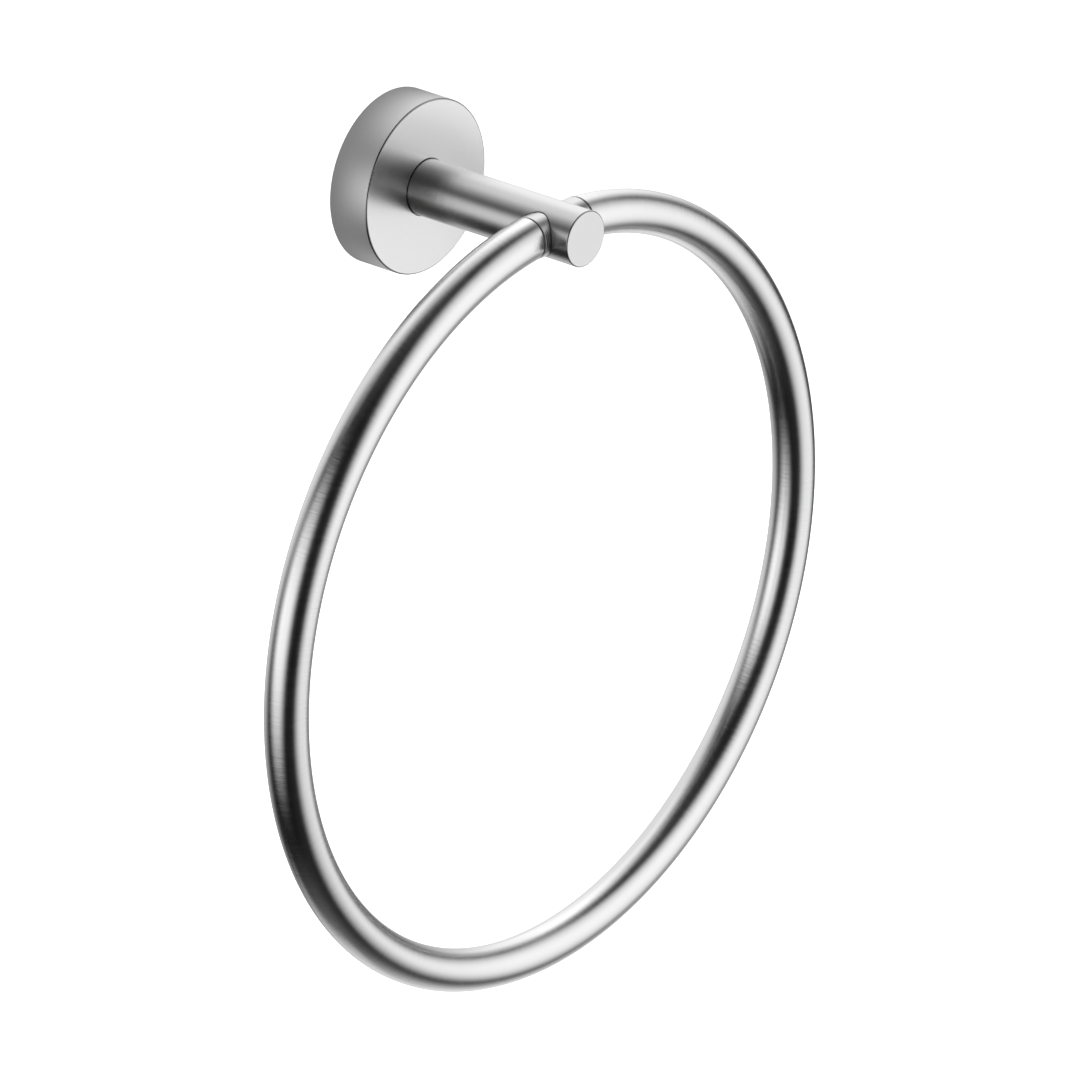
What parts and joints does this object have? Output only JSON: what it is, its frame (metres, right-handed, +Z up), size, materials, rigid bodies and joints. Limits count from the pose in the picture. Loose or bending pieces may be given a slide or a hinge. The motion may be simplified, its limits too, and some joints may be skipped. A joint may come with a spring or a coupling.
{
  "type": "towel ring",
  "caption": "Wall-mounted towel ring: round flange, straight post, and a round tube ring that swings on a bar through the post.",
  "frame": {"origin": "on the wall, at the centre of the two wall screw slots, which is the centre of the wall plate's back face", "axes": "+Y into the wall, -Y out into the room, +X to the right of somebody who faces the wall, +Z up"},
  "size_m": [0.2294, 0.07, 0.2478],
  "materials": {
    "brushed_steel_cover": "fine brushed, satin",
    "brushed_steel_post": "fine brushed, satin",
    "brushed_steel_bar": "fine brushed, satin",
    "brushed_steel_ring": "fine brushed, satin",
    "plate_steel": "zinc plated, matt",
    "screw_steel": "bright stainless",
    "spring_steel": "dull spring steel",
    "plug_steel": "turned",
    "bush_nylon": "black nylon"
  },
  "bodies": {
    "bracket": {"wall_plate": "plate_steel", "flange_cover": "brushed_steel_cover", "flange_grub_screw": "screw_steel", "post": "brushed_steel_post", "post_screw": "screw_steel", "post_screw_washer": "screw_steel", "post_lock_washer": "spring_steel", "post_locating_pin": "screw_steel", "crossbar": "brushed_steel_bar", "crossbar_lock_screw": "screw_steel"},
    "ring": {"ring_tube": "brushed_steel_ring", "ring_end_plug_left": "plug_steel", "ring_end_plug_right": "plug_steel", "pivot_bush_left": "bush_nylon", "pivot_bush_right": "bush_nylon"}
  },
  "joints": [
    {"name": "ring_swing", "type": "hinge", "parent": "bracket", "child": "ring", "pos_m": [0, -0.0584, 0], "axis": [-1, 0, 0], "range_deg": [-13.9, 193.9]}
  ]
}
